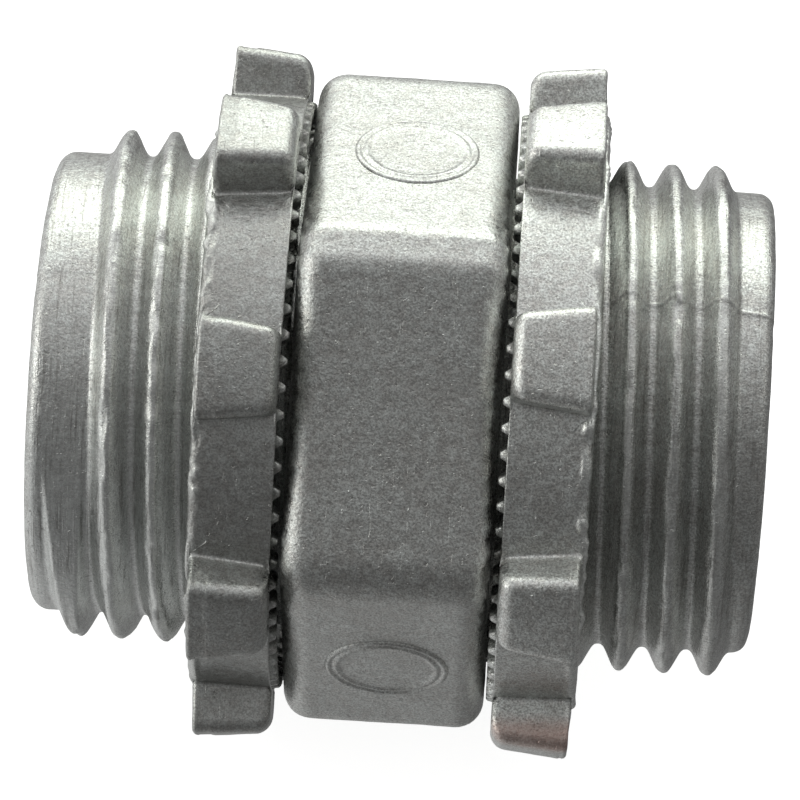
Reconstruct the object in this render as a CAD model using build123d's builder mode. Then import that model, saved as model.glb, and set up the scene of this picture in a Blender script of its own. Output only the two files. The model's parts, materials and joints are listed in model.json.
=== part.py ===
"""A half-inch die-cast conduit nipple with a castellated locknut on each of its two threads.

The axis runs along X. The origin is on the axis, at the middle of the length, and +Z is up when the
fitting lies on the lugs of its locknuts. Angles about the axis are measured from +Y towards +Z.
"""

import os
from math import cos, radians, sin

from build123d import *

# The nipple: a tube with a hexagon round its middle and a straight pipe thread on each side.
LENGTH = 29.3
BORE_RADIUS = 7.9
THROAT_ROUND = 0.6  # at each mouth of the bore
END_ROUND = 0.63  # at the outer edge of each end face
HEX_ACROSS_FLATS = 23.6
HEX_LEFT = -4.2  # the hexagon's two end faces
HEX_RIGHT = 4.05
HEX_CORNER_ROUND = 2.2
HEX_END_ROUND = 1.15
HEX_TURN = 31.5  # angle of the first corner
HEX_OVERLAP = 0.8  # how far the hexagon's ring reaches into the tube wall

# The thread: 1/2-14 straight pipe thread, right-hand, rounded by casting.
PITCH = 25.4 / 14
THREAD_RADIUS = 10.48  # at the crests
ROOT_RADIUS = 9.44  # at the roots, and on the plain land at each end
CREST_WIDTH = 0.34
RIDGE_BASE_WIDTH = 1.5
CREST_ROUND = 0.14
RIDGE_SINK = 0.2  # how far the ridge's foot reaches into the tube wall
FADE_ANGLE = 70.0  # the outer end of each thread grows from nothing over this angle
FADE_MARGIN = 0.04
LEFT_THREAD_START = (-13.10, 137.65)  # x and angle of the thread's outer end
RIGHT_THREAD_END = (13.50, 278.65)
LEFT_TURNS = 5.0
RIGHT_TURNS = 5.25

# A blank round pad on two of the hexagon's faces, where a maker would put a mark.
PAD_RADIUS = 2.5
PAD_HEIGHT = 0.1
PAD_SHIFT = 0.1  # along X, off the origin
PAD_FACES = ((61.5, 0.15), (181.5, -0.5))  # the face's angle, and how far across it the pad lies

# The locknut, measured from the tips of its teeth outwards along the axis.
SEAT_GAP = 0.1  # between the tips and the hexagon
TOOTH_COUNT = 72
TOOTH_HEIGHT = 0.4
TOOTH_WIDTH = 0.78
TOOTH_LENGTH = 1.05
TOOTH_TAPER = 40.0
TOOTH_SINK = 0.05
TEETH_RADIUS = 12.25  # outer end of the teeth
LUG_COUNT = 8
LEFT_LUG_TURN = 25.05  # angle of one lug, on the left locknut and on the right one
RIGHT_LUG_TURN = 19.95
LUG_FROM = 0.25
LUG_TO = 3.47
LUG_RADIUS = 14.28  # at the outer face
LUG_RADIUS_INNER = 13.96  # at the side with the teeth
LUG_EDGE_ROUND = 0.6
LUG_HALF_ANGLE = 9.0  # at the outer face; a lug's sides are radial there
LUG_DRAFT = 7.0  # the lugs narrow towards the side with the teeth
LUG_SINK = 0.3  # how far outside the bore the lugs' sides begin, inside the ring
NUT_RADIUS = 12.18  # between the lugs
NUT_HEIGHT = 3.63
NUT_EDGE_ROUND = 0.25
NUT_CLEARANCE = 0.08  # between the thread's crests and the locknut's relieved bore
NUT_MOUTH = 0.35


def polar(radius, angle):
    """The point at this radius and angle in a sketch plane."""
    return radius * cos(radians(angle)), radius * sin(radians(angle))


def thread_ridge(start_x, start_angle, turns):
    """The helical ridge of one thread, its foot sunk into the tube wall, running in +X."""
    flank_slope = (RIDGE_BASE_WIDTH - CREST_WIDTH) / 2 / (THREAD_RADIUS - ROOT_RADIUS)
    foot = RIDGE_BASE_WIDTH / 2 + flank_slope * RIDGE_SINK
    with BuildPart() as ridge:
        with BuildLine() as path:
            Helix(PITCH, turns * PITCH, ROOT_RADIUS)
        with BuildSketch(Plane.XZ) as section:
            with BuildLine():
                Polyline(
                    (ROOT_RADIUS - RIDGE_SINK, -foot),
                    (THREAD_RADIUS, -CREST_WIDTH / 2),
                    (THREAD_RADIUS, CREST_WIDTH / 2),
                    (ROOT_RADIUS - RIDGE_SINK, foot),
                    close=True,
                )
            make_face()
            fillet(section.vertices().group_by(Axis.X)[-1], CREST_ROUND)
        sweep(path=path.line, is_frenet=True)
    placed = Plane.YZ.offset(start_x).location * Rot(0, 0, start_angle)
    return placed * ridge.part


def thread_fade(end_x, end_angle, way, reach):
    """What is cut away so that a thread grows from nothing: a crescent outside the tube.

    way is +1 where the thread runs on from end_angle to larger angles and -1 where it arrives there.
    reach is how far the crescent extends from end_x along the thread.
    """
    outside = THREAD_RADIUS + 0.6
    before = end_angle - way * 6
    full = end_angle + way * FADE_ANGLE
    half_way = end_angle + way * FADE_ANGLE / 2
    half_height = (ROOT_RADIUS + THREAD_RADIUS) / 2
    start_plane = Plane.YZ.offset(end_x - way * PITCH / 2)
    with BuildPart() as crescent:
        with BuildSketch(start_plane):
            with BuildLine():
                Line(polar(outside, before), polar(ROOT_RADIUS, before))
                Line(polar(ROOT_RADIUS, before), polar(ROOT_RADIUS, end_angle))
                ThreePointArc(
                    polar(ROOT_RADIUS, end_angle),
                    polar(half_height, half_way),
                    polar(THREAD_RADIUS + FADE_MARGIN, full),
                )
                Line(polar(THREAD_RADIUS + FADE_MARGIN, full), polar(outside, full))
                ThreePointArc(polar(outside, full), polar(outside, half_way), polar(outside, before))
            make_face()
        extrude(amount=way * (PITCH / 2 + reach))
    return crescent.part


left_x, left_angle = LEFT_THREAD_START
right_x, right_angle = RIGHT_THREAD_END
left_ridge = thread_ridge(left_x, left_angle, LEFT_TURNS)
right_ridge = thread_ridge(
    right_x - RIGHT_TURNS * PITCH, right_angle - RIGHT_TURNS * 360, RIGHT_TURNS
)
fade_reach = PITCH - RIDGE_BASE_WIDTH / 2
left_ridge = left_ridge - thread_fade(left_x, left_angle, 1, fade_reach)
right_ridge = right_ridge - thread_fade(right_x, right_angle, -1, fade_reach)

with BuildPart() as nipple_body:
    with BuildSketch(Plane.XZ) as tube_section:
        with Locations((0, (BORE_RADIUS + ROOT_RADIUS) / 2)):
            Rectangle(LENGTH, ROOT_RADIUS - BORE_RADIUS)
        fillet(tube_section.vertices().group_by(Axis.Y)[-1], END_ROUND)
        fillet(tube_section.vertices().group_by(Axis.Y)[0], THROAT_ROUND)
    revolve(axis=Axis.X)
    with BuildSketch(Plane.YZ.offset(HEX_LEFT)) as hex_outline:
        RegularPolygon(HEX_ACROSS_FLATS / 2, 6, major_radius=False, rotation=HEX_TURN)
        fillet(hex_outline.vertices(), HEX_CORNER_ROUND)
        Circle(ROOT_RADIUS - HEX_OVERLAP, mode=Mode.SUBTRACT)
    extrude(amount=HEX_RIGHT - HEX_LEFT)
    end_faces = nipple_body.faces().filter_by(Axis.X).sort_by(Axis.X)
    hex_rims = [face.outer_wire().edges() for face in end_faces[1:-1]]
    fillet(hex_rims, HEX_END_ROUND)
    for face_angle, across in PAD_FACES:
        out = Vector(0, *polar(1, face_angle))
        flat = Plane(out * (HEX_ACROSS_FLATS / 2), x_dir=(1, 0, 0), z_dir=out)
        with BuildSketch(flat):
            with Locations((PAD_SHIFT, across)):
                Circle(PAD_RADIUS)
        extrude(amount=PAD_HEIGHT)
    add(left_ridge)
    add(right_ridge)
nipple_body.part.label = "nipple_body"


def locknut(lug_turn):
    """A locknut with its axis along Z, its teeth pointing to -Z and their tips at z = 0."""
    bore = THREAD_RADIUS + NUT_CLEARANCE
    with BuildPart() as nut:
        with BuildSketch(Plane.XY.offset(LUG_TO)):
            with PolarLocations(0, LUG_COUNT, start_angle=lug_turn):
                Polygon(
                    polar(bore + LUG_SINK, -LUG_HALF_ANGLE),
                    polar(LUG_RADIUS + 1, -LUG_HALF_ANGLE),
                    polar(LUG_RADIUS + 1, LUG_HALF_ANGLE),
                    polar(bore + LUG_SINK, LUG_HALF_ANGLE),
                    align=None,
                )
        extrude(amount=LUG_FROM - LUG_TO, taper=LUG_DRAFT)
        with BuildSketch(Plane.XZ) as lug_limit:
            with BuildLine():
                Polyline(
                    (0, LUG_FROM),
                    (LUG_RADIUS_INNER, LUG_FROM),
                    (LUG_RADIUS, LUG_TO),
                    (0, LUG_TO),
                    close=True,
                )
            make_face()
            corner = lug_limit.vertices().group_by(Axis.Y)[0].sort_by(Axis.X)[-1]
            fillet(corner, LUG_EDGE_ROUND)
        revolve(axis=Axis.Z, mode=Mode.INTERSECT)
        with BuildSketch(Plane.XZ) as ring_section:
            with Locations(((bore + NUT_RADIUS) / 2, (TOOTH_HEIGHT + NUT_HEIGHT) / 2)):
                Rectangle(NUT_RADIUS - bore, NUT_HEIGHT - TOOTH_HEIGHT)
            corners = ring_section.vertices().group_by(Axis.X)[-1]
            fillet(corners, NUT_EDGE_ROUND)
            chamfer(ring_section.vertices().group_by(Axis.X)[0], NUT_MOUTH)
        revolve(axis=Axis.Z)
        with BuildSketch(Plane.XY.offset(TOOTH_HEIGHT + TOOTH_SINK)):
            with PolarLocations(TEETH_RADIUS - TOOTH_LENGTH / 2, TOOTH_COUNT):
                Rectangle(TOOTH_LENGTH, TOOTH_WIDTH)
        extrude(amount=-(TOOTH_HEIGHT + TOOTH_SINK), taper=TOOTH_TAPER)
    return nut.part


right_plane = Plane((HEX_RIGHT + SEAT_GAP, 0, 0), x_dir=(0, 1, 0), z_dir=(1, 0, 0))
right_locknut = right_plane.location * locknut(RIGHT_LUG_TURN)
right_locknut.label = "right_locknut"
left_plane = Plane((HEX_LEFT - SEAT_GAP, 0, 0), x_dir=(0, 1, 0), z_dir=(-1, 0, 0))
left_locknut = left_plane.location * locknut(-LEFT_LUG_TURN)
left_locknut.label = "left_locknut"

os.makedirs("parts", exist_ok=True)
export_step(nipple_body.part, "parts/nipple_body.step")
export_step(left_locknut, "parts/left_locknut.step")
export_step(right_locknut, "parts/right_locknut.step")
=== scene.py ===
"""A half-inch die-cast conduit nipple with a castellated locknut on each of its two threads.

Each casting is one closed skin: a grid of points in millimetres whose rows go round the casting's section
and whose columns go round the fitting's axis, which is the X axis. Angles are degrees from +Y towards +Z.
"""

import json
import math

import bpy
import numpy as np
from mathutils import Matrix, Vector


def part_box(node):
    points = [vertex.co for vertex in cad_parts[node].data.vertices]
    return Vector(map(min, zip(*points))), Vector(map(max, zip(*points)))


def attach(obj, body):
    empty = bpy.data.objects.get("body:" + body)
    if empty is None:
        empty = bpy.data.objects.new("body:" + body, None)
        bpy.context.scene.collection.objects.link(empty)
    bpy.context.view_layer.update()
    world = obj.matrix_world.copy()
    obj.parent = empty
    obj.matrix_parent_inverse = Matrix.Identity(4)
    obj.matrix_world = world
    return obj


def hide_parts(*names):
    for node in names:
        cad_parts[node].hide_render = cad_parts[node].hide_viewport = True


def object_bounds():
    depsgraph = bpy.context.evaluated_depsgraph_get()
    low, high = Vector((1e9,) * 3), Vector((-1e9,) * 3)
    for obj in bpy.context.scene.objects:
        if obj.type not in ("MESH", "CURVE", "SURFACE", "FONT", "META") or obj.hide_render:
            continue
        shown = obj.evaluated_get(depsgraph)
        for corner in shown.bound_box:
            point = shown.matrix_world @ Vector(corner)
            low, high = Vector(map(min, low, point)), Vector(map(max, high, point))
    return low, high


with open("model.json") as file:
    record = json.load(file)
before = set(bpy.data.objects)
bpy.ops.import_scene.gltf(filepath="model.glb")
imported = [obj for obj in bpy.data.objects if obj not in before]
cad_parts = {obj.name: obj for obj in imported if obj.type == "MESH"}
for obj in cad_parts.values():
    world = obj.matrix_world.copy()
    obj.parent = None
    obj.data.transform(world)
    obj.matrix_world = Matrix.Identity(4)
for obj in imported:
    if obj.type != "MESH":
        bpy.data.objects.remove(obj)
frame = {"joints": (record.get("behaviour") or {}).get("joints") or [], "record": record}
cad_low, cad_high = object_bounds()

MM = 0.001
mounts = {mount["name"]: mount for mount in frame["record"]["mounts"]}
joints = {joint["name"]: joint for joint in frame["joints"]}

# What the frame gives.
HALF_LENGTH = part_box("nipple_body")[1].x / MM
BORE_RADIUS = mounts["wireway_bore"]["dims"]["r_mm"]
THREAD_RADIUS = mounts["left_thread"]["dims"]["r_mm"]
HEX_LEFT = mounts["left_panel_clamp"]["pos_m"][0] / MM
HEX_RIGHT = mounts["right_panel_clamp"]["pos_m"][0] / MM
TRAVEL_TURNS = 4  # of the thread, in a locknut's whole travel
PITCH = joints["left_locknut_travel"]["range_m"][1] / MM / TRAVEL_TURNS
LEFT_NUT_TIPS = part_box("left_locknut")[1].x / MM  # x of the teeth's tips
RIGHT_NUT_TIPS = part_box("right_locknut")[0].x / MM

# The nipple.
ROOT_RADIUS = 9.44
END_ROUND = 0.63
THROAT_ROUND = 0.6
HEX_ACROSS_FLATS = 23.6
HEX_CORNER_ROUND = 2.2
HEX_END_ROUND = 1.15
HEX_TURN = 31.5  # angle of the first corner
HEX_PERIOD = 60  # degrees from one corner to the next
PARTING_ANGLES = (91.5, 271.5)  # the corners where the two halves of the die met
CORNER_TRIM = 0.077  # how much is trimmed off those two corners
CORNER_TRIM_REACH = 0.5  # radians to either side within which the trim can show
LEFT_THREAD_START = (-13.10, 137.65)  # x and angle of the thread's outer end
RIGHT_THREAD_END = (13.50, 278.65)
THREAD_FADE = 70.0  # degrees over which a thread grows from nothing
CREST_HALF_WIDTH = 0.19
RIDGE_HALF_WIDTH = 0.72
PROFILE_SOFTNESS = 0.13
PAD_RADIUS = 2.5
PAD_PROFILE = (  # radius, and height above the hexagon's face
    (0.5, 0.03), (1.0, 0.03), (1.5, 0.03), (1.80, 0.03),  # the plain middle
    (1.90, 0.04), (1.97, 0.08), (2.04, 0.10), (2.11, 0.08), (2.17, 0.03),  # a raised ring
    (2.24, 0.03), (2.30, 0.08), (2.37, 0.10), (2.43, 0.07), (PAD_RADIUS, 0.01),  # another one
    (PAD_RADIUS, -0.2),  # the foot, sunk in the face
)
PAD_COLUMNS = 96
PAD_SHIFT = 0.1  # along the axis
PAD_FACES = ((61.5, 0.15), (181.5, -0.5))  # the face's angle, and how far across it the pad lies

# The locknuts, measured from the tips of the teeth outwards along the axis.
NUT_HEIGHT = 3.63
NUT_RADIUS = 12.18
NUT_EDGE_ROUND = 0.36  # between the lugs
NUT_EDGE_ROUND_AT_LUG = 0.17
LUG_COUNT = 8
HALF_PERIOD = 180 / LUG_COUNT  # degrees from the middle of a lug to the middle of a valley
LUG_FROM = 0.27
LUG_TO = 3.47
LUG_RADIUS = 14.26
LUG_RADIUS_INNER = 13.95
LUG_HALF_ANGLE = 9.0
LUG_HALF_ANGLE_INNER = 7.4
LUG_LEAN = 0.15  # degrees by which a lug is wider at its base, and narrower at its tip, on each side
LUG_END_ROUND = 0.62  # round its end beside the teeth
LUG_END_NARROWING = 0.9  # degrees on each side, over that rounding
LUG_FACE_ROUND = 0.22  # round its outer face
LUG_TIP_ROUND = 0.50
LUG_BASE_ROUND = 0.17
TOOTH_COUNT = 72
TOOTH_HEIGHT = 0.45
TOOTH_LAND = 0.28  # shares of the way from the middle of a gap to the middle of a tooth: the flat gap,
TOOTH_FLANK = 0.50  # and the flank beside it
TOOTH_PROFILE = (  # how far inside the ring's edge, and how much of its full height a tooth has there
    (0.13, 0.85), (0.20, 1), (0.45, 1), (0.70, 1), (0.85, 0.9), (0.98, 0.3), (1.08, 0),
)
TEETH_RIM = 0.28  # the ring's edge outside the teeth lies this far below their tips
TEETH_RIM_PROFILE = ((0.0, 0.05), (0.03, 0.0), (0.08, 0.03))  # how far inside that edge, and below it
VALLEY_FOOT = 0.16  # how far below the ring's edge the even rows between two lugs end
VALLEY_EDGE = 0.06  # how far below it the last row before the edge lies
NUT_THREAD_TIP = 9.72
NUT_THREAD_ROOT = 10.58
NUT_CREST_HALF_WIDTH = 0.08
NUT_RIDGE_HALF_WIDTH = 0.50
NUT_MOUTH = 10.95
LEFT_LUG_TURN = 25.05  # angle of one lug, on the left locknut and on the right one
RIGHT_LUG_TURN = 19.95

# Zinc: its colours and those of what is on it, among them painted light, a painted highlight and a reddish
# tint, and how bright its colours are made in each casting.
TARNISHED = (0.56, 0.555, 0.53)
CLEAN = (0.715, 0.74, 0.72)
GRIT = (0.27, 0.268, 0.26, 1)
# painted light: a pale colour laid over the left thread's lower front, where light falls on it
PAINTED_LIGHT = (0.90, 0.925, 0.91, 1)
PIT = (0.22, 0.21, 0.20, 1)
GROOVE = (0.25, 0.24, 0.225, 1)
# partly wear and partly a painted highlight: a pale colour on the thread crests and the locknuts' collar
# edges and burrs
WEAR_AND_HIGHLIGHT = (0.88, 0.90, 0.87, 1)
# a reddish tint, laid on the side of a lug
REDDISH_TINT = (0.55, 0.33, 0.27, 1)
NIPPLE_TONE = 1.12
LEFT_NUT_TONE = 0.90
RIGHT_NUT_TONE = 1.28
ROUGHNESS = (0.23, 0.42)  # where it is smoothest and where it is roughest
RELIEF = 0.03  # height of its bumps, in mm

# How uneven the castings are: heights and widths of their lumps, from the large ones to the small.
NIPPLE_LUMPS = ((0.014, 2.1), (0.012, 0.75), (0.007, 0.33))
NUT_LUMPS = ((0.012, 1.9), (0.010, 0.7), (0.006, 0.3))
PAD_LUMPS = ((0.006, 0.6),)
BORE_UNEVENNESS = 0.35  # beside the outside's, in the nipple and in the locknuts
NUT_BORE_UNEVENNESS = 0.3

# The crests of the nipple's threads: heights of lumps, grain and nicks, and their sizes along x, y and z.
CREST_LUMPS = (0.08, 0.05)  # on the left and on the right
CREST_LUMP_SIZE = (0.45, 1.3, 1.3)
CREST_SINK = 0.02
CREST_GRAIN = 0.02
CREST_GRAIN_SIZE = (0.4, 0.4, 0.4)
CREST_NICK = 0.11
CREST_NICK_SIZE = (0.5, 0.8, 0.8)
# how much the crests are lightened, partly as wear and partly as a painted highlight, and the size of its
# patches
CREST_WEAR_AND_HIGHLIGHT = 0.7
CREST_WEAR_AND_HIGHLIGHT_SIZE = (0.7, 1.3, 1.3)

# The die's parting line on the nipple's tube. Its width and its wandering are in degrees.
SEAM_HEIGHT = 0.03
SEAM_HALF_WIDTH = 0.55
SEAM_LEFT_SHARE = 0.35
SEAM_WANDER = 0.6
SEAM_WANDER_SIZE = 3.0
SEAM_BREAK_SIZE = 0.9

# Where the left thread's lower front is painted lighter, as painted light, in degrees.
PAINTED_LIGHT_ANGLE = 165
PAINTED_LIGHT_WIDTH = 50

# Where the press trimmed the locknuts: on their lugs, and round the collar between them, which has a burr.
TRIM_DEPTH = 0.05
TRIM_GRAIN = 0.008
TRIM_GRAIN_SIZE = 0.28
TRIM_WANDER = 0.08
TRIM_WANDER_SIZE = 1.1
COLLAR_RAGGEDNESS = 0.14
COLLAR_SINK = 0.01
BURR_HEIGHT = 0.04
BURR_RAGGEDNESS = 0.10
BURR_DROP = 0.34  # from the collar's outer face to the middle of its burr
BURR_HALF_WIDTH = 0.12
BURR_FADE = (0.8, 2.5)  # degrees from a lug's side where the burr begins and where it is whole
RAGGED_SIZE = (0.5, 0.37, 0.37)
RAGGED_SPREAD = 1.5
RAGGED_WAVE_SIZE = 0.95
TINT_WIDTH = 3.0  # degrees

# Seeds for the lumps.
NIPPLE_SEEDS = (11, 12, 13)
LEFT_NUT_SEEDS = (31, 32, 33)
RIGHT_NUT_SEEDS = (41, 42, 43)
PAD_SEED = 60

# What a skin's points can be marked as: lightened by wear and a painted highlight, roughly trimmed, scraped
# round the axis, painted lighter as painted light, or tinted reddish.
MARKS = ("wear_and_highlight", "cast", "ringed", "painted_light", "tint")

# How many points the skins have.
NIPPLE_COLUMNS = 264
CORNER_CROWDING = (1.3, 7)  # how many more columns there are at a corner, and over how many degrees
PARTING_CROWDING = (3.5, 1.6)
THROAT_STEPS = 7  # rows on the nipple
END_STEPS = 9
THREAD_STEP = 0.078  # mm between rows
HEX_END_STEPS = 6
HEX_RIM_STEPS = 8
HEX_FACE_STEPS = 41
BORE_STEPS = 25
VALLEY_STEPS = 23  # columns from the middle of a valley to the middle of a lug
BASE_STEPS = 4
SIDE_STEPS = 6
TIP_STEPS = 5
TOP_STEPS = 7
HALF_PERIOD_STEPS = VALLEY_STEPS + BASE_STEPS + SIDE_STEPS + TIP_STEPS + TOP_STEPS
COLLAR_FACE_STEPS = 5  # rows on a locknut
COLLAR_ROUND_STEPS = 6
LUG_FACE_STEPS = 8
LUG_ROUND_STEPS = 3
LUG_LENGTH_STEPS = 26
LUG_END_STEPS = 9
SEAT_STEPS = 5
NUT_THREAD_STEP = 0.09  # mm between rows

# The view: where the camera stands and how its picture is framed, in degrees and millimetres.
CAMERA_ELEVATION = 61.318
CAMERA_AZIMUTH = 2.928
CAMERA_ROLL = 0.996
CAMERA_DISTANCE = 210.77
CAMERA_LENS = 230.34
CAMERA_SHIFT = (-0.00423, 0.00209)
SENSOR_WIDTH = 36

# The surroundings: a direction, and how bright they are from opposite it (0) to straight along it (1).
BEHIND = (0.0, 0.80, 0.60)
LEFT = (-0.90, 0.15, -0.40)
BELOW = (0.0, -0.44, -0.90)
SKY = (
    (BEHIND, ((0.0, 0.13), (0.2, 0.13), (0.5, 0.20), (0.62, 0.28), (0.76, 0.45), (0.9, 0.75), (1.0, 0.90))),
    (LEFT, ((0.0, 0.0), (0.6, 0.0), (0.8, 0.30), (1.0, 0.55))),
    (BELOW, ((0.0, 0.0), (0.82, 0.0), (0.94, 0.06), (1.0, 0.10))),
)
FLOOR_HALF = 3.0  # metres
FLOOR_GLOW = 0.80


# ---------------------------------------------------------------- numbers

class Lumps:
    """Smooth random values between about -1 and 1 anywhere in space, from a seeded lattice."""

    SIZE = 32

    def __init__(self, seed):
        self.lattice = np.random.default_rng(seed).uniform(-1, 1, (self.SIZE,) * 3)

    def __call__(self, points, width):
        """points is (..., 3) in mm, and width the size of a lump: one number, or one for each axis."""
        place = points / np.asarray(width, float) + 1000.0
        cell = np.floor(place).astype(int)
        part = place - cell
        part = part * part * (3 - 2 * part)
        total = np.zeros(points.shape[:-1])
        for corner in np.ndindex(2, 2, 2):
            weight = np.prod(np.where(corner, part, 1 - part), axis=-1)
            at = (cell + corner) % self.SIZE
            total += weight * self.lattice[at[..., 0], at[..., 1], at[..., 2]]
        return total


def smooth(low, high, value):
    """0 below low, 1 above high and an S-curve between them."""
    part = np.clip((value - low) / (high - low), 0, 1)
    return part * part * (3 - 2 * part)


def mix(first, second, share):
    """first where share is 0 and second where it is 1."""
    return first + (second - first) * share


def bump(value, centre, width):
    """1 at centre, falling to 0 over about twice the width."""
    return np.exp(-(((value - centre) / width) ** 2))


def uneven(points, lumps, sizes):
    """Lumps of several sizes on top of each other. sizes are pairs of height and width in mm."""
    return sum(height * lump(points, width) for lump, (height, width) in zip(lumps, sizes))


def turn_from(angle, centre):
    """How far an angle is from centre, between -180 and 180 degrees."""
    return (np.asarray(angle) - centre + 180) % 360 - 180


def steps_to(start, stop, count):
    """That many evenly spaced numbers from start towards stop, without stop."""
    return np.linspace(start, stop, count, endpoint=False)


def between(start, stop, steps):
    """The evenly spaced numbers between start and stop that divide the way into that many steps."""
    return np.linspace(start, stop, steps + 1)[1:-1]


def quarter(steps):
    """Sines and cosines of a quarter turn, from 0 to 90 degrees."""
    turn = np.linspace(0, math.pi / 2, steps + 1)
    return np.sin(turn), np.cos(turn)


def to_points(x, radius, angle):
    """Points from x, radius and angle about the axis."""
    turn = np.radians(angle)
    return np.stack(np.broadcast_arrays(x, radius * np.cos(turn), radius * np.sin(turn)), axis=-1)


# ---------------------------------------------------------------- meshes

def grid_normals(points):
    """Normals of a closed grid, from the steps between each point's neighbours. They point in or out."""
    along_rows = np.roll(points, -1, axis=0) - np.roll(points, 1, axis=0)
    along_columns = np.roll(points, -1, axis=1) - np.roll(points, 1, axis=1)
    return np.cross(along_columns, along_rows)


def pushed_out(points, amount):
    """The points moved along the skin's outward normal."""
    normal = grid_normals(points)
    if (points * normal).sum() < 0:
        normal = -normal
    normal /= np.maximum(np.linalg.norm(normal, axis=-1, keepdims=True), 1e-9)
    return points + normal * amount[..., None]


def add_mesh(name, vertices, faces, material, marks):
    """A smooth mesh object from arrays of points in mm and of four-sided faces, with its points marked."""
    mesh = bpy.data.meshes.new(name)
    mesh.vertices.add(len(vertices))
    mesh.vertices.foreach_set("co", (vertices * MM).astype(np.float32).ravel())
    mesh.loops.add(faces.size)
    mesh.loops.foreach_set("vertex_index", np.ascontiguousarray(faces, np.int32).ravel())
    mesh.polygons.add(len(faces))
    mesh.polygons.foreach_set("loop_start", np.arange(0, faces.size, 4, dtype=np.int32))
    mesh.polygons.foreach_set("use_smooth", np.ones(len(faces), dtype=bool))
    mesh.update(calc_edges=True)
    for mark in MARKS:
        attribute = mesh.attributes.new(mark, "FLOAT", "POINT")
        values = marks.get(mark, np.zeros(len(vertices)))
        attribute.data.foreach_set("value", np.clip(values, 0, 1).astype(np.float32).ravel())
    mesh.materials.append(material)
    piece = bpy.data.objects.new(name, mesh)
    bpy.context.scene.collection.objects.link(piece)
    return piece


def skin(name, points, material, marks):
    """A closed mesh from a grid that wraps round both ways. marks are named values at the points."""
    rows, columns = points.shape[:2]
    index = np.arange(rows * columns).reshape(rows, columns)
    below = np.roll(index, -1, axis=0)
    faces = np.stack([index, np.roll(index, -1, axis=1), np.roll(below, -1, axis=1), below], axis=-1)
    faces = faces.reshape(-1, 4)
    if (points * grid_normals(points)).sum() < 0:
        faces = faces[:, ::-1]
    return add_mesh(name, points.reshape(-1, 3), faces, material, marks)


# ---------------------------------------------------------------- the thread

def ridge_profile(off, crest_half_width, ridge_half_width):
    """The height of a ridge, 0 to 1, at a distance from the middle of its crest, with soft corners."""
    total = 0
    shifts = np.linspace(-PROFILE_SOFTNESS, PROFILE_SOFTNESS, 9)
    for shift in shifts:
        flank = (ridge_half_width - np.abs(off + shift)) / (ridge_half_width - crest_half_width)
        total = total + np.clip(flank, 0, 1)
    return total / len(shifts)


def along_thread(x, angle, end):
    """The distance to the nearest crest, in mm, and that crest's turn from the thread's outer end."""
    turns = (x - end[0]) / PITCH - (angle - end[1]) / 360
    nearest = np.round(turns)
    return (turns - nearest) * PITCH, angle - end[1] + nearest * 360


def thread_height(x, angle, end, way):
    """The height of the nipple's ridge above its root, and how near the crest a place is, 0 to 1."""
    off, run = along_thread(x, angle, end)
    profile = ridge_profile(off, CREST_HALF_WIDTH, RIDGE_HALF_WIDTH)
    grown = smooth(-4, THREAD_FADE, way * run)
    height = np.minimum(profile, grown * 1.02) * smooth(-10, 6, way * run)
    return (THREAD_RADIUS - ROOT_RADIUS) * height, profile * grown


# ---------------------------------------------------------------- the nipple

def past_corner(angle):
    """How far an angle is past the hexagon's nearest corner, in degrees."""
    return (angle - HEX_TURN + HEX_PERIOD / 2) % HEX_PERIOD - HEX_PERIOD / 2


def hexagon_radius(angle, inset):
    """The radius of the hexagon's outline at each angle, when the outline is set in by inset."""
    apothem = HEX_ACROSS_FLATS / 2 - inset
    corner_round = HEX_CORNER_ROUND - inset
    half_face = math.radians(HEX_PERIOD / 2)
    from_corner = np.radians(np.abs(past_corner(angle)))
    from_face = half_face - from_corner
    flat = apothem / np.cos(from_face)
    reach = (apothem - corner_round) / math.cos(half_face)
    inside = np.maximum(corner_round**2 - (reach * np.sin(from_corner)) ** 2, 0)
    rounded = reach * np.cos(from_corner) + np.sqrt(inside)
    flat_half = (apothem - corner_round) * math.tan(half_face)
    outline = np.where(from_face < np.arctan2(flat_half, apothem), flat, rounded)
    for parting in PARTING_ANGLES:
        off = np.radians(turn_from(angle, parting))
        near = np.clip(off, -CORNER_TRIM_REACH, CORNER_TRIM_REACH)
        trimmed = (reach + corner_round - CORNER_TRIM) / np.cos(near)
        outline = np.where(np.abs(off) < CORNER_TRIM_REACH, np.minimum(outline, trimmed), outline)
    return outline


def nipple_columns():
    """The angles of the nipple's columns: closer together at the hexagon's corners and the parting line."""
    fine = np.arange(0, 360, 0.02)
    extra, spread = CORNER_CROWDING
    density = 1 + extra * bump(past_corner(fine), 0, spread)
    extra, spread = PARTING_CROWDING
    for parting in PARTING_ANGLES:
        density = density + extra * bump(turn_from(fine, parting), 0, spread)
    share = np.cumsum(density)
    return np.interp((np.arange(NIPPLE_COLUMNS) + 0.5) / NIPPLE_COLUMNS, share / share[-1], fine)


def nipple_end(side):
    """Rows as (x, radius) from the bore, round the throat, over the end face and onto the tube."""
    rows = []
    for sine, cosine in zip(*quarter(THROAT_STEPS)):
        throat_x = HALF_LENGTH - THROAT_ROUND * (1 - sine)
        rows.append((side * throat_x, BORE_RADIUS + THROAT_ROUND * (1 - cosine)))
    face_middle = (BORE_RADIUS + THROAT_ROUND + ROOT_RADIUS - END_ROUND) / 2
    rows.append((side * HALF_LENGTH, face_middle))
    for sine, cosine in zip(*quarter(END_STEPS)):
        rows.append((side * (HALF_LENGTH - END_ROUND * (1 - cosine)), ROOT_RADIUS - END_ROUND * (1 - sine)))
    return rows


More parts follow.
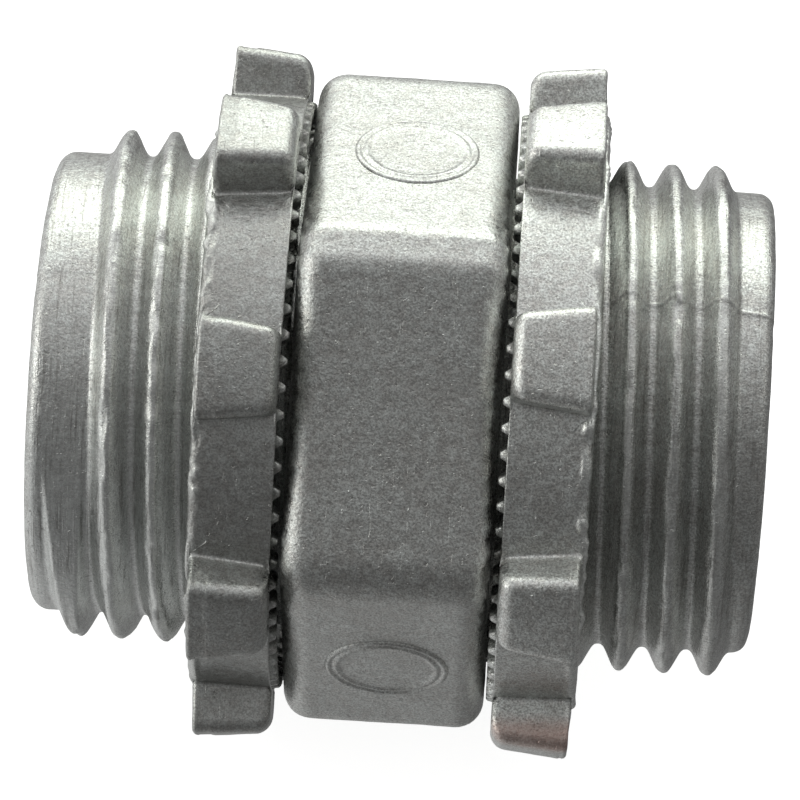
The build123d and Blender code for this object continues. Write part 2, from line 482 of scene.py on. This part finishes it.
def nipple_half(angle, side, hex_x, end):
    """Rows as (x, radius, crest) from the bore, round one end and over the thread to the hexagon's rim."""
    rows = [(x, np.full_like(angle, radius), np.zeros_like(angle)) for x, radius in nipple_end(side)]
    thread_from = HALF_LENGTH - END_ROUND
    steps = int((thread_from - abs(hex_x)) / THREAD_STEP)
    for x in np.linspace(side * thread_from, hex_x, steps)[1:]:
        height, crest = thread_height(x, angle, end, -side)
        rows.append((x, ROOT_RADIUS + height, crest))
    foot = rows[-1][1]
    rim = hexagon_radius(angle, HEX_END_ROUND)
    for share in between(0, 1, HEX_END_STEPS):
        rows.append((hex_x, mix(foot, rim, share), 0 * angle))
    for sine, cosine in zip(*quarter(HEX_RIM_STEPS)):
        x = hex_x - side * HEX_END_ROUND * (1 - cosine)
        rows.append((x, hexagon_radius(angle, HEX_END_ROUND * (1 - sine)), 0 * angle))
    return rows


def nipple_skin():
    """The nipple's grid of points and what is marked on it."""
    angle = nipple_columns()
    left = nipple_half(angle, -1, HEX_LEFT, LEFT_THREAD_START)
    right = nipple_half(angle, 1, HEX_RIGHT, RIGHT_THREAD_END)
    across = between(HEX_LEFT + HEX_END_ROUND, HEX_RIGHT - HEX_END_ROUND, HEX_FACE_STEPS)
    middle = [(x, hexagon_radius(angle, 0), 0 * angle) for x in across]
    bore = between(HALF_LENGTH - THROAT_ROUND, THROAT_ROUND - HALF_LENGTH, BORE_STEPS)
    inside = [(x, np.full_like(angle, BORE_RADIUS), 0 * angle) for x in bore]
    rows = left + middle + right[::-1] + inside
    x = np.array([np.broadcast_to(row[0], angle.shape) for row in rows])
    radius = np.array([row[1] for row in rows])
    crest = np.array([row[2] for row in rows])
    turn = np.broadcast_to(angle, x.shape)
    points = to_points(x, radius, turn)

    waves, dents, nicks = (Lumps(seed) for seed in NIPPLE_SEEDS)
    outside = smooth(BORE_RADIUS + 0.3, BORE_RADIUS + 0.9, radius)
    tube = smooth(THREAD_RADIUS + 0.5, THREAD_RADIUS + 0.1, radius)
    rightwards = smooth(HEX_LEFT, HEX_RIGHT, x)
    crown = smooth(0.7, 1, crest)
    amount = uneven(points, (waves, dents, nicks), NIPPLE_LUMPS)
    amount += crown * (mix(*CREST_LUMPS, rightwards) * dents(points, CREST_LUMP_SIZE) - CREST_SINK)
    amount += crown * CREST_GRAIN * nicks(points, CREST_GRAIN_SIZE)
    amount -= crown * CREST_NICK * smooth(0.2, 0.7, nicks(points, CREST_NICK_SIZE))
    for parting in PARTING_ANGLES:
        off = turn_from(turn, parting) + SEAM_WANDER * dents(points, SEAM_WANDER_SIZE)
        broken = smooth(-0.2, 0.5, waves(points, SEAM_BREAK_SIZE))
        seam = SEAM_HEIGHT * outside * tube * mix(SEAM_LEFT_SHARE, 1, rightwards)
        amount += seam * broken * bump(off, 0, SEAM_HALF_WIDTH)
        amount -= seam * smooth(-0.4, 0.4, off) * smooth(6, 2, off)
    amount *= mix(BORE_UNEVENNESS, 1, outside)
    points = pushed_out(points, amount)
    points[..., 0] = np.clip(points[..., 0], -HALF_LENGTH, HALF_LENGTH)

    ringed = tube * outside * smooth(HALF_LENGTH, HALF_LENGTH - 0.3, np.abs(x))
    # painted light: the left thread's lower front is lightened, as if lit from the left
    painted_light = ringed * smooth(HEX_RIGHT, HEX_LEFT, x) * bump(turn_from(turn, PAINTED_LIGHT_ANGLE), 0, PAINTED_LIGHT_WIDTH)
    # crests lightened in patches, partly as wear and partly as a painted highlight
    wear_and_highlight = CREST_WEAR_AND_HIGHLIGHT * crown * smooth(-0.25, 0.25, waves(points, CREST_WEAR_AND_HIGHLIGHT_SIZE))
    return points, {"wear_and_highlight": wear_and_highlight, "ringed": ringed, "painted_light": painted_light}


# ---------------------------------------------------------------- the locknuts

def arc_points(centre_radius, centre_angle, radius, turns):
    """Radius and angle, in degrees, of points on a small circle beside the axis.

    turns are measured from the outward direction at the circle's centre towards larger angles.
    """
    out = centre_radius + radius * np.cos(turns)
    along = radius * np.sin(turns)
    return np.hypot(out, along), centre_angle + np.degrees(np.arctan2(along, out))


def lug_outline(tip_radius, half_angle):
    """Radius and angle of the outline at one height, for one lug and half a valley on each side of it."""
    base_centre = NUT_RADIUS + LUG_BASE_ROUND
    base_lean = math.asin(LUG_BASE_ROUND / base_centre)
    base_angle = half_angle + LUG_LEAN + math.degrees(base_lean)
    tip_centre = tip_radius - LUG_TIP_ROUND
    tip_lean = math.asin(LUG_TIP_ROUND / tip_centre)
    tip_angle = half_angle - LUG_LEAN - math.degrees(tip_lean)

    valley_radius = np.full(VALLEY_STEPS, NUT_RADIUS)
    valley_angle = steps_to(HALF_PERIOD, base_angle, VALLEY_STEPS)
    base_turns = steps_to(-math.pi, -math.pi / 2 - base_lean, BASE_STEPS)
    base_radius, base_angle = arc_points(base_centre, base_angle, LUG_BASE_ROUND, base_turns)
    side_from = base_centre * math.cos(base_lean)
    side_to = tip_centre * math.cos(tip_lean)
    side_radius = steps_to(side_from, side_to, SIDE_STEPS)
    side_angle = steps_to(half_angle + LUG_LEAN, half_angle - LUG_LEAN, SIDE_STEPS)
    tip_turns = steps_to(math.pi / 2 + tip_lean, 0, TIP_STEPS)
    round_radius, round_angle = arc_points(tip_centre, tip_angle, LUG_TIP_ROUND, tip_turns)
    top_radius = np.full(TOP_STEPS + 1, tip_radius)
    top_angle = np.linspace(tip_angle, 0, TOP_STEPS + 1)
    radius = np.concatenate([valley_radius, base_radius, side_radius, round_radius, top_radius])
    angle = np.concatenate([valley_angle, base_angle, side_angle, round_angle, top_angle])
    both_radius = np.concatenate([radius, radius[-2:0:-1]])
    both_angle = np.concatenate([-angle, angle[-2:0:-1]])
    return both_radius, both_angle


def lug_shape(z):
    """The lug's tip radius and half angle at a height."""
    share = (z - LUG_FROM) / (LUG_TO - LUG_FROM)
    return mix(LUG_RADIUS_INNER, LUG_RADIUS, share), mix(LUG_HALF_ANGLE_INNER, LUG_HALF_ANGLE, share)


def collar_rows(ring, edge_round):
    """Rows over the locknut's outer face, from its mouth, and round that face's edge."""
    even = np.ones_like(ring)
    rows = []
    for share in steps_to(0, 1, COLLAR_FACE_STEPS):
        rows.append((NUT_HEIGHT * even, mix(NUT_MOUTH, NUT_RADIUS - edge_round, share), ring))
    for sine, cosine in zip(*quarter(COLLAR_ROUND_STEPS)):
        rows.append((NUT_HEIGHT - edge_round * (1 - cosine), NUT_RADIUS - edge_round * (1 - sine), ring))
    return rows


def lug_rows(ring):
    """Rows over a lug: out over its outer face, along its sides and round its end beside the teeth."""
    tip_radius, half_angle = lug_shape(LUG_TO)
    side_round = math.degrees(LUG_FACE_ROUND / LUG_RADIUS)
    face_radius, face_angle = lug_outline(tip_radius - LUG_FACE_ROUND, half_angle - side_round)
    rows = []
    for share in between(0, 1, LUG_FACE_STEPS):
        rows.append((LUG_TO, mix(NUT_RADIUS, face_radius, share), mix(ring, face_angle, share)))
    for sine, cosine in zip(*quarter(LUG_ROUND_STEPS)):
        outline = lug_outline(tip_radius - LUG_FACE_ROUND * (1 - sine), half_angle - side_round * (1 - sine))
        rows.append((LUG_TO - LUG_FACE_ROUND * (1 - cosine), *outline))
    for z in between(LUG_TO - LUG_FACE_ROUND, LUG_FROM + LUG_END_ROUND, LUG_LENGTH_STEPS):
        rows.append((z, *lug_outline(*lug_shape(z))))
    for sine, cosine in zip(*quarter(LUG_END_STEPS)):
        z = LUG_FROM + LUG_END_ROUND * (1 - sine)
        tip_radius, half_angle = lug_shape(z)
        end_radius = tip_radius - LUG_END_ROUND * (1 - cosine)
        rows.append((z, *lug_outline(end_radius, half_angle - LUG_END_NARROWING * (1 - cosine))))
    return rows


def tooth_rows(ring):
    """Rows round the ring's edge outside the teeth, and over the teeth to the locknut's mouth."""
    even = np.ones_like(ring)
    to_tip = 1 - np.abs((ring * TOOTH_COUNT / 360) % 1 - 0.5) * 2
    tooth = np.clip((to_tip - TOOTH_LAND) / TOOTH_FLANK, 0, 1)
    rows = []
    for back, rise in TEETH_RIM_PROFILE:
        rows.append(((TEETH_RIM + rise) * even, (NUT_RADIUS - back) * even, ring))
    for back, rise in TOOTH_PROFILE:
        rows.append((TOOTH_HEIGHT * (1 - rise * tooth), (NUT_RADIUS - back) * even, ring))
    rows.append((TOOTH_HEIGHT * even, NUT_MOUTH * even, ring))
    return rows


def nut_bore_rows(ring, middle, thread_off):
    """Rows through the bore, with the locknut's own ridge, to the outer mouth."""
    even = np.ones_like(ring)
    chamfer = NUT_MOUTH - NUT_THREAD_ROOT
    ridge_height = NUT_THREAD_ROOT - NUT_THREAD_TIP
    rows = []
    for z in np.arange(TOOTH_HEIGHT + chamfer, NUT_HEIGHT - chamfer + 0.01, NUT_THREAD_STEP):
        grown = smooth(TOOTH_HEIGHT, TOOTH_HEIGHT + 1.2, z) * smooth(NUT_HEIGHT, NUT_HEIGHT - 0.8, z)
        off = thread_off(z, middle + ring)
        ridge = ridge_profile(off, NUT_CREST_HALF_WIDTH, NUT_RIDGE_HALF_WIDTH) * grown
        rows.append((z * even, NUT_THREAD_ROOT - ridge_height * ridge, ring))
    return rows


def nut_rows(middle, thread_off):
    """One period of a locknut as (height, radius, angle) rows, from the outer mouth over the outside.

    The angles are measured from middle, the angle of the period's lug. thread_off gives the distance from
    the middle of the locknut's own ridge, at a height and an angle.
    """
    ring = np.arange(-HALF_PERIOD, HALF_PERIOD, HALF_PERIOD / HALF_PERIOD_STEPS)
    step = np.minimum(np.arange(len(ring)), len(ring) - np.arange(len(ring)))
    on_lug = smooth(VALLEY_STEPS - 6, VALLEY_STEPS + 1, step)
    fillet = smooth(VALLEY_STEPS, VALLEY_STEPS + BASE_STEPS, step)
    edge_round = mix(NUT_EDGE_ROUND, NUT_EDGE_ROUND_AT_LUG, on_lug)
    top = mix(NUT_HEIGHT - NUT_EDGE_ROUND, LUG_TO, on_lug)
    foot = mix(TEETH_RIM + VALLEY_FOOT, LUG_FROM, fillet)

    rows = collar_rows(ring, edge_round)
    over_lug = lug_rows(ring)
    valley_shares = between(1, 0, len(over_lug) + 1)
    for valley_share, (lug_z, radius, angle) in zip(valley_shares, over_lug):
        lug_share = (lug_z - LUG_FROM) / (LUG_TO - LUG_FROM)
        rows.append((mix(foot, top, mix(valley_share, lug_share, on_lug)), radius, angle))
    _, end_radius, end_angle = over_lug[-1]
    for share in between(0, 1, SEAT_STEPS):
        z = mix(foot, TEETH_RIM + VALLEY_EDGE, share)
        rows.append((z, mix(end_radius, NUT_RADIUS, share), mix(end_angle, ring, share)))
    return rows + tooth_rows(ring) + nut_bore_rows(ring, middle, thread_off)


def nut_grid(lug_turn, thread_off):
    """A whole locknut's heights, radii and angles, one lug after the other."""
    periods = []
    for lug in range(LUG_COUNT):
        middle = lug_turn + lug * 2 * HALF_PERIOD
        rows = nut_rows(middle, thread_off)
        z = np.array([row[0] for row in rows])
        radius = np.array([row[1] for row in rows])
        angle = np.array([row[2] for row in rows]) + middle
        periods.append(np.stack([z, radius, angle]))
    return np.concatenate(periods, axis=2)


def nut_skin(lug_turn, tips_x, side, end, trim_height, tint_angle, seeds):
    """A locknut's grid of points and what is marked on it. It lies outwards of tips_x, on that side.

    end is the outer end of the nipple's thread. The press trimmed the lugs above trim_height.
    """

    def thread_off(height, angle):
        """The distance from the middle of the locknut's ridge, which lies between the nipple's crests."""
        off, _ = along_thread(tips_x + side * height, angle, end)
        return PITCH / 2 - np.abs(off)

    z, radius, turn = nut_grid(lug_turn, thread_off)
    points = to_points(tips_x + side * z, radius, turn)

    waves, dents, grains = (Lumps(seed) for seed in seeds)
    amount = uneven(points, (waves, dents, grains), NUT_LUMPS)
    on_lug = smooth(NUT_RADIUS + 0.5, NUT_RADIUS + 1.4, radius)
    parting = trim_height + TRIM_WANDER * dents(points, TRIM_WANDER_SIZE)
    trimmed = on_lug * smooth(-0.05, 0.05, z - parting)
    amount += trimmed * (TRIM_GRAIN * grains(points, TRIM_GRAIN_SIZE) - TRIM_DEPTH)

    ragged = 0.8 * grains(points, RAGGED_SIZE) * smooth(-0.7, 0.5, waves(points, RAGGED_SPREAD))
    ragged = ragged + 0.5 * dents(points, RAGGED_WAVE_SIZE)
    collar_edge = smooth(NUT_RADIUS - 0.5, NUT_RADIUS - 0.2, radius) * smooth(LUG_TO - 0.35, LUG_TO - 0.1, z)
    collar_edge *= smooth(NUT_RADIUS + 0.7, NUT_RADIUS + 0.1, radius)
    amount += collar_edge * (COLLAR_RAGGEDNESS * ragged - COLLAR_SINK)
    burr = bump(z, NUT_HEIGHT - BURR_DROP, BURR_HALF_WIDTH)
    burr *= smooth(NUT_RADIUS + 0.5, NUT_RADIUS + 0.1, radius)
    burr *= smooth(NUT_RADIUS - 0.15, NUT_RADIUS - 0.05, radius)
    from_lug = np.abs((turn - lug_turn + HALF_PERIOD) % (2 * HALF_PERIOD) - HALF_PERIOD)
    burr *= smooth(LUG_HALF_ANGLE + BURR_FADE[0], LUG_HALF_ANGLE + BURR_FADE[1], from_lug)
    amount += burr * (BURR_HEIGHT + BURR_RAGGEDNESS * ragged)

    inside = smooth(NUT_MOUTH + 0.05, NUT_MOUTH - 0.1, radius)
    amount *= mix(1, NUT_BORE_UNEVENNESS, inside)
    points = pushed_out(points, amount)
    cast = np.maximum(trimmed, 0.7 * collar_edge)
    # collar edge and burr lightened, partly as wear and partly as a painted highlight
    wear_and_highlight = np.maximum(collar_edge, burr) * smooth(-0.3, 0.3, ragged)
    tint = on_lug * bump(turn_from(turn, tint_angle), 0, TINT_WIDTH)
    tint = tint * smooth(NUT_RADIUS, NUT_RADIUS + 0.6, radius)
    return points, {"wear_and_highlight": wear_and_highlight, "cast": cast, "tint": tint}


# ---------------------------------------------------------------- materials

class Nodes:
    """Adds linked nodes to a node tree. An input is given as a socket to link, or as its value."""

    def __init__(self, tree):
        self.tree = tree

    def put(self, socket, value):
        """Links value to an input socket, or sets it there."""
        if isinstance(value, bpy.types.NodeSocket):
            self.tree.links.new(value, socket)
        else:
            socket.default_value = value

    def add(self, kind, output=0, settings=None, **inputs):
        """A new node's output. The inputs' names are their places: i0, i1 and so on, or a plain name."""
        node = self.tree.nodes.new("ShaderNode" + kind)
        for key, value in (settings or {}).items():
            setattr(node, key, value)
        for key, value in inputs.items():
            place = int(key[1:]) if key[1:].isdigit() else key
            self.put(node.inputs[place], value)
        return node.outputs[output]

    def math(self, operation, first, second=0.0, third=0.0):
        """A calculation, such as MULTIPLY_ADD, which is first times second plus third."""
        return self.add("Math", settings={"operation": operation}, i0=first, i1=second, i2=third)

    def ramp(self, value, low, high, out_low=0.0, out_high=1.0):
        """value taken from low..high to out_low..out_high along an S-curve and held there."""
        settings = {"interpolation_type": "SMOOTHSTEP"}
        return self.add("MapRange", settings=settings, i0=value, i1=low, i2=high, i3=out_low, i4=out_high)

    def noise(self, place, scale, detail, roughness, distortion=0.0):
        """Noise between 0 and 1. scale is how many lumps there are in a millimetre of place."""
        sizes = {"Scale": scale, "Detail": detail, "Roughness": roughness, "Distortion": distortion}
        return self.add("TexNoise", Vector=place, **sizes)

    def blend(self, share, first, second):
        """A colour between two."""
        return self.add("Mix", output=2, settings={"data_type": "RGBA"}, i0=share, i6=first, i7=second)

    def curve(self, value, stops):
        """value taken through straight lines from stop to stop."""
        level = self.add("FloatCurve", Value=value)
        mapping = level.node.mapping
        points = mapping.curves[0].points
        points[0].location = stops[0]
        points[1].location = stops[-1]
        for stop in stops[1:-1]:
            points.new(*stop)
        for point in points:
            point.handle_type = "VECTOR"
        mapping.update()
        return level


def new_material(name):
    """A new material, something to add its nodes with, and its shader's inputs."""
    material = bpy.data.materials.new(name)
    material.use_nodes = True
    tree = material.node_tree
    return material, Nodes(tree), tree.nodes["Principled BSDF"].inputs


def zinc(name, tone):
    """Die-cast zinc as it comes from the trimming press: satin grey, mottled, finely pitted and scuffed.

    The skins' marks say where it is lightened by wear and a painted highlight, roughly trimmed, scraped
    round the axis, painted lighter as painted light, or tinted reddish. tone scales its colours beside the
    other pieces'.
    """
    material, nodes, shader = new_material(name)
    place = nodes.add("TexCoord", output="Object")
    mm = nodes.add("VectorMath", settings={"operation": "SCALE"}, Vector=place, Scale=1 / MM)
    along_rings = nodes.add("Mapping", Vector=mm, Scale=(7.0, 0.30, 0.30))
    slanting = nodes.add("Mapping", Vector=mm, Scale=(1.0, 4.0, 4.0), Rotation=(0.5, 0.3, 0.9))
    scraping = nodes.add("Mapping", Vector=mm, Scale=(9.0, 0.5, 0.9), Rotation=(0.2, 0.9, 0.7))
    wear_and_highlight, cast, ringed, painted_light, tint = (
        nodes.add("Attribute", output="Fac", settings={"attribute_name": mark}) for mark in MARKS
    )

    cloud = nodes.noise(mm, scale=0.45, detail=4.0, roughness=0.6)
    mottle = nodes.noise(mm, scale=2.8, detail=5.0, roughness=0.70, distortion=0.4)
    grain = nodes.noise(mm, scale=7.5, detail=3.0, roughness=0.6)
    sand = nodes.noise(mm, scale=12.0, detail=2.0, roughness=0.6)
    speck = nodes.noise(mm, scale=4.6, detail=2.0, roughness=0.5)
    streak = nodes.noise(along_rings, scale=1.0, detail=4.0, roughness=0.75)
    scuff = nodes.noise(slanting, scale=1.0, detail=4.0, roughness=0.7, distortion=1.5)
    scrape = nodes.noise(scraping, scale=1.0, detail=1.0, roughness=0.5)
    scratches = nodes.ramp(scrape, 0.725, 0.755)
    pits = nodes.ramp(speck, 0.67, 0.75)
    beads = nodes.ramp(speck, 0.31, 0.25)
    grooves = nodes.math("MULTIPLY", ringed, nodes.ramp(streak, 0.52, 0.66))

    shade = nodes.math("MULTIPLY_ADD", mottle, 0.7, nodes.math("MULTIPLY", cloud, 0.3))
    tarnished = tuple(channel * tone for channel in TARNISHED) + (1,)
    clean = tuple(channel * tone for channel in CLEAN) + (1,)
    colour = nodes.blend(nodes.ramp(shade, 0.36, 0.64), tarnished, clean)
    colour = nodes.blend(nodes.ramp(sand, 0.60, 0.38, 0.0, 0.62), colour, GRIT)
    for mark, strength, layer in (
        # painted light on the left thread's lower front
        (painted_light, 0.6, PAINTED_LIGHT),
        (pits, 0.45, PIT),
        (grooves, 0.6, GROOVE),
        # wear and painted highlight on the crests, collar edges and burrs
        (wear_and_highlight, 0.45, WEAR_AND_HIGHLIGHT),
        # reddish tint on the side of a lug
        (tint, 0.6, REDDISH_TINT),
    ):
        colour = nodes.blend(nodes.math("MULTIPLY", mark, strength), colour, layer)
    nodes.put(shader["Base Color"], colour)

    uneven_finish = nodes.math("MULTIPLY_ADD", scuff, 0.5, nodes.math("MULTIPLY", mottle, 0.5))
    rough = nodes.ramp(uneven_finish, 0.36, 0.64, *ROUGHNESS)
    for mark, change in ((wear_and_highlight, -0.07), (ringed, -0.05), (cast, 0.05)):
        rough = nodes.math("MULTIPLY_ADD", mark, change, rough)
    nodes.put(shader["Roughness"], rough)

    height = nodes.math("MULTIPLY", cloud, 1.2)
    for relief, share in (
        (mottle, 1.0),
        (grain, 0.50),
        (sand, 0.22),
        (nodes.math("MULTIPLY", ringed, streak), 0.9),
        (pits, -0.5),
        (beads, 0.7),
        (scratches, -0.35),
        (nodes.math("MULTIPLY", cast, mottle), 0.9),
    ):
        height = nodes.math("MULTIPLY_ADD", relief, share, height)
    bumped = nodes.add("Bump", Strength=1.0, Distance=RELIEF * MM, Height=height)
    nodes.put(shader["Normal"], bumped)
    shader["Metallic"].default_value = 1.0
    return material


# ---------------------------------------------------------------- the pieces

nipple_zinc = zinc("cast_zinc_nipple", NIPPLE_TONE)
left_zinc = zinc("cast_zinc_left_locknut", LEFT_NUT_TONE)
right_zinc = zinc("cast_zinc_right_locknut", RIGHT_NUT_TONE)

points, marks = nipple_skin()
nipple = skin("nipple_casting", points, nipple_zinc, marks)
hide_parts("nipple_body")
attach(nipple, "nipple")


def pad_points(face_angle, across):
    """Rings of points for a blank round pad with raised rings, and the middles of its top and its foot."""
    outline = np.radians(np.arange(0, 360, 360 / PAD_COLUMNS))
    radius, height = np.array(PAD_PROFILE).T[:, :, None]
    turn = math.radians(face_angle)
    out = np.array([0, math.cos(turn), math.sin(turn)])
    along = np.array([1.0, 0, 0])
    beside = np.cross(out, along)
    middle = out * HEX_ACROSS_FLATS / 2 + along * PAD_SHIFT + beside * across
    flat = (radius * np.cos(outline))[..., None] * along + (radius * np.sin(outline))[..., None] * beside
    rings = middle + flat + height[..., None] * out
    return rings, middle + out * PAD_PROFILE[0][1], middle + out * PAD_PROFILE[-1][1]


def pad(number, face_angle, across):
    """One pad: a skin over its rings, closed round a point in the middle of its top and one of its foot."""
    rings, top, foot = pad_points(face_angle, across)
    rings = rings + uneven(rings, [Lumps(PAD_SEED + number)], PAD_LUMPS)[..., None]
    rows = len(rings)
    index = np.arange(rows * PAD_COLUMNS).reshape(rows, PAD_COLUMNS)
    beyond = np.roll(index, -1, axis=1)
    faces = [np.stack([index[:-1], index[1:], beyond[1:], beyond[:-1]], axis=-1).reshape(-1, 4)]
    for ring, centre, step in ((index[0], rows * PAD_COLUMNS, 1), (index[-1], rows * PAD_COLUMNS + 1, -1)):
        ring = ring[::step]
        first, second, third = ring[0::2], ring[1::2], np.roll(ring, -2)[0::2]
        faces.append(np.stack([np.full_like(first, centre), first, second, third], axis=-1))
    vertices = np.concatenate([rings.reshape(-1, 3), [top, foot]])
    faces = np.concatenate(faces)
    corners = vertices[faces]
    normals = np.cross(corners[:, 2] - corners[:, 0], corners[:, 3] - corners[:, 1])
    if (corners.mean(axis=1) * normals).sum() < 0:
        faces = faces[:, ::-1]
    piece = add_mesh(f"blank_pad_{number}", vertices, faces, nipple_zinc, {})
    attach(piece, "nipple")


for number, (face_angle, across) in enumerate(PAD_FACES, 1):
    pad(number, face_angle, across)

points, marks = nut_skin(
    LEFT_LUG_TURN,
    LEFT_NUT_TIPS,
    side=-1,
    end=LEFT_THREAD_START,
    trim_height=2.6,
    tint_angle=0.0,
    seeds=LEFT_NUT_SEEDS,
)
left_locknut = skin("left_locknut_casting", points, left_zinc, marks)
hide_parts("left_locknut")
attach(left_locknut, "left_nut")

points, marks = nut_skin(
    RIGHT_LUG_TURN,
    RIGHT_NUT_TIPS,
    side=1,
    end=RIGHT_THREAD_END,
    trim_height=3.1,
    tint_angle=191.5,
    seeds=RIGHT_NUT_SEEDS,
)
right_locknut = skin("right_locknut_casting", points, right_zinc, marks)
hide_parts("right_locknut")
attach(right_locknut, "right_nut")


# ---------------------------------------------------------------- floor, lights and camera

def add_floor():
    """A plain pale floor below the lugs. It is bright in itself, like a lit sweep of paper."""
    material, _, shader = new_material("pale_floor")
    shader["Base Color"].default_value = (0.86, 0.86, 0.86, 1)
    shader["Roughness"].default_value = 0.9
    shader["Specular IOR Level"].default_value = 0.0
    shader["Emission Color"].default_value = (1, 1, 1, 1)
    shader["Emission Strength"].default_value = FLOOR_GLOW
    half = FLOOR_HALF
    corners = [(-half, -half, 0), (half, -half, 0), (half, half, 0), (-half, half, 0)]
    mesh = bpy.data.meshes.new("floor")
    mesh.from_pydata(corners, [], [(0, 1, 2, 3)])
    mesh.materials.append(material)
    floor = bpy.data.objects.new("floor", mesh)
    floor.location.z = cad_low.z
    floor.visible_glossy = False
    bpy.context.scene.collection.objects.link(floor)


def add_softbox(name, rise, swing, distance, width, height, radiance, colour):
    """A soft rectangular light facing the origin. Its sizes are in metres.

    rise is in degrees above the floor, and swing in degrees from +Y towards +X.
    """
    rise = math.radians(rise)
    swing = math.radians(swing)
    way = Vector((math.sin(swing) * math.cos(rise), math.cos(swing) * math.cos(rise), math.sin(rise)))
    light = bpy.data.lights.new(name, "AREA")
    light.shape = "RECTANGLE"
    light.size = width
    light.size_y = height
    light.energy = radiance * math.pi * width * height
    light.color = colour
    box = bpy.data.objects.new(name, light)
    box.location = way * distance
    box.rotation_euler = way.to_track_quat("Z", "Y").to_euler()
    bpy.context.scene.collection.objects.link(box)


def add_sky():
    """Dim surroundings, brighter behind than in front, with pale patches to the left and below.

    The camera itself sees plain white behind the floor.
    """
    world = bpy.data.worlds.new("studio")
    world.use_nodes = True
    bpy.context.scene.world = world
    nodes = Nodes(world.node_tree)
    place = nodes.add("TexCoord", output="Generated")
    brightness = 0.0
    for direction, stops in SKY:
        way = Vector(direction).normalized()
        towards = nodes.add("VectorMath", "Value", {"operation": "DOT_PRODUCT"}, i0=place, i1=way)
        level = nodes.curve(nodes.math("MULTIPLY_ADD", towards, 0.5, 0.5), stops)
        brightness = nodes.math("ADD", brightness, level)
    seen = nodes.add("LightPath", output="Is Camera Ray")
    shown = nodes.blend(seen, brightness, (1, 1, 1, 1))
    nodes.put(world.node_tree.nodes["Background"].inputs["Color"], shown)


def add_camera():
    """The camera, looking at the origin from in front and above."""
    rise, swing, roll = (math.radians(turn) for turn in (CAMERA_ELEVATION, CAMERA_AZIMUTH, CAMERA_ROLL))
    back = Vector((math.sin(swing) * math.cos(rise), -math.cos(swing) * math.cos(rise), math.sin(rise)))
    level = Vector((math.cos(swing), math.sin(swing), 0))
    upright = back.cross(level)
    right = level * math.cos(roll) + upright * math.sin(roll)
    up = upright * math.cos(roll) - level * math.sin(roll)
    turned = Matrix((right, up, back)).transposed().to_4x4()
    camera = bpy.data.objects.new("camera", bpy.data.cameras.new("camera"))
    camera.data.lens = CAMERA_LENS
    camera.data.sensor_width = SENSOR_WIDTH
    camera.data.shift_x, camera.data.shift_y = CAMERA_SHIFT
    camera.data.clip_start = 0.01
    camera.data.clip_end = 20
    camera.matrix_world = Matrix.Translation(back * CAMERA_DISTANCE * MM) @ turned
    bpy.context.scene.collection.objects.link(camera)
    bpy.context.scene.camera = camera


add_floor()
add_softbox(
    "back_softbox",
    rise=20,
    swing=-3,
    distance=0.60,
    width=1.1,
    height=0.42,
    radiance=1.56,
    colour=(0.94, 1.0, 0.89),
)
add_softbox(
    "left_softbox",
    rise=18,
    swing=-92,
    distance=0.55,
    width=0.30,
    height=0.26,
    radiance=1.7,
    colour=(1.0, 1.0, 0.95),
)
add_softbox(
    "right_softbox",
    rise=22,
    swing=80,
    distance=0.55,
    width=0.22,
    height=0.22,
    radiance=0.5,
    colour=(1.0, 1.0, 0.95),
)
add_sky()
add_camera()
bpy.context.scene.view_settings.view_transform = "Standard"
